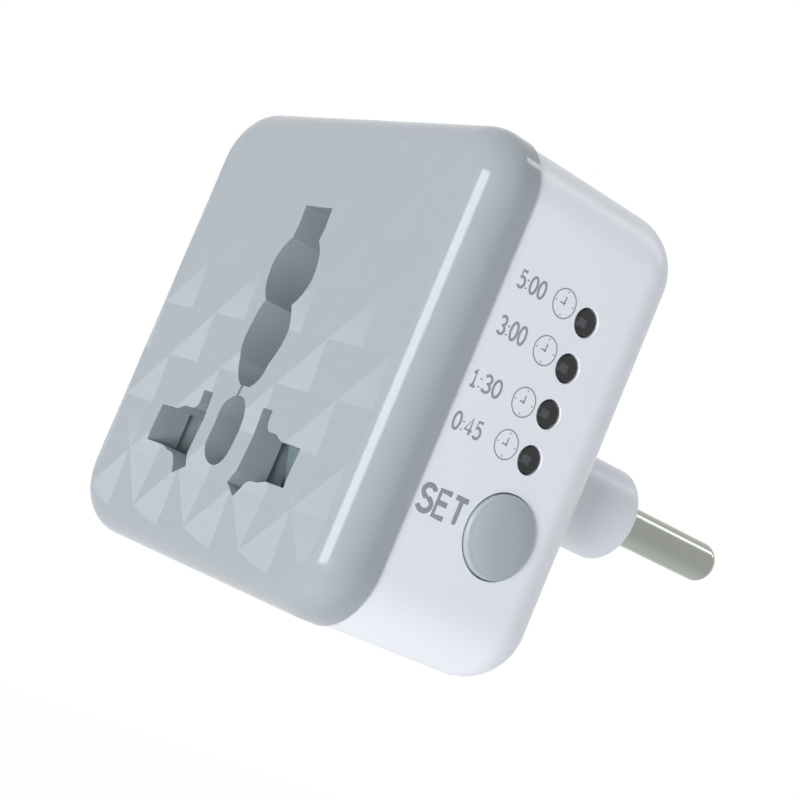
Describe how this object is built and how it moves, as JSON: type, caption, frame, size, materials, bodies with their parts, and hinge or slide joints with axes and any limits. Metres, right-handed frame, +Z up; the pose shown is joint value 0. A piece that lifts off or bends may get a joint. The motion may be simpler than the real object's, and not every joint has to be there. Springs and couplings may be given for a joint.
{
  "type": "plug in timer switch",
  "caption": "Plug in countdown timer with a universal socket face, a side panel with indicator lamps and a SET button, and a round pin wall plug.",
  "frame": {"origin": "on the back face of the housing, midway between the two plug pins, where the timer meets the wall socket", "axes": "+X to the right seen from the socket face, towards the control panel; +Y along the plug pins into the wall; +Z up"},
  "size_m": [0.0543, 0.0644, 0.0526],
  "materials": {
    "cover_grey": "satin moulded pale grey plastic with a low square relief",
    "housing_white": "gloss white moulded plastic",
    "button_grey": "satin grey plastic",
    "shutter_grey": "matt slate grey plastic",
    "inner_plastic": "matt grey heat resistant plastic",
    "pin_metal": "nickel plated brass",
    "contact_brass": "bright brass sheet",
    "spring_steel": "bright spring steel",
    "screw_steel": "zinc plated steel",
    "lamp_lens": "smoky tinted epoxy",
    "board_laminate": "green glass laminate",
    "black_plastic": "black moulded plastic",
    "capacitor_sleeve": "printed heat shrink sleeve without print",
    "resistor_body": "lacquered resistor body",
    "capacitor_box": "yellow film capacitor box",
    "disc_coating": "blue dipped coating",
    "relay_blue": "blue relay case",
    "coil_copper": "enamelled copper winding",
    "wire_blue": "blue insulated wire",
    "wire_brown": "brown insulated wire",
    "wire_black": "black insulated wire"
  },
  "bodies": {
    "case": {"front_cover": "cover_grey", "main_housing": "housing_white", "plug_pin_left": "pin_metal", "plug_pin_right": "pin_metal", "pin_clamp_plate": "inner_plastic", "contact_carrier": "inner_plastic", "shutter_spring_left": "spring_steel", "shutter_spring_right": "spring_steel", "live_contact": "contact_brass", "neutral_contact": "contact_brass", "carrier_screw": "screw_steel", "push_switch_body": "black_plastic", "push_switch_cover": "spring_steel", "indicator_lamp_1": "lamp_lens", "indicator_lamp_2": "lamp_lens", "indicator_lamp_3": "lamp_lens", "indicator_lamp_4": "lamp_lens", "control_board": "board_laminate", "power_board": "board_laminate", "timer_chip": "black_plastic", "smoothing_capacitor": "capacitor_sleeve", "driver_transistor": "black_plastic", "control_resistors": "resistor_body", "dropper_capacitor": "capacitor_box", "surge_disc": "disc_coating", "fuse_tube": "disc_coating", "rectifier_diodes": "black_plastic", "relay_base": "black_plastic", "relay_case": "relay_blue", "relay_coil": "coil_copper", "relay_frame": "screw_steel", "relay_contact": "contact_brass", "neutral_wire": "wire_blue", "live_feed_wire": "wire_brown", "live_switched_wire": "wire_brown", "neutral_feed_wire": "wire_blue", "board_link_wires": "wire_black"},
    "shutter": {"safety_shutter": "shutter_grey"},
    "button": {"set_button": "button_grey"},
    "plunger": {"push_switch_plunger": "black_plastic"},
    "armature": {"relay_armature": "spring_steel"}
  },
  "joints": [
    {"name": "shutter_lift", "type": "slide", "parent": "case", "child": "shutter", "axis": [0, 0, 1], "range_m": [0, 0.0099], "stiffness_N_per_m": 60, "springref_m": -0.004, "deforming": ["shutter_spring_left", "shutter_spring_right"]},
    {"name": "set_press", "type": "slide", "parent": "case", "child": "button", "axis": [-1, 0, 0], "range_m": [0, 0.00035], "stiffness_N_per_m": 2000, "springref_m": -0.0002},
    {"name": "switch_press", "type": "slide", "parent": "case", "child": "plunger", "axis": [-1, 0, 0], "range_m": [0, 0.00035]},
    {"name": "armature_pull", "type": "hinge", "parent": "case", "child": "armature", "pos_m": [-0.0114, -0.0141, 0.00386], "axis": [0, -1, 0], "range_deg": [0, 3.4], "stiffness_Nm_per_rad": 0.02, "springref_deg": -5.73}
  ],
  "couplings": [
    {"joint": "switch_press", "follows": "set_press", "ratio": 1}
  ]
}
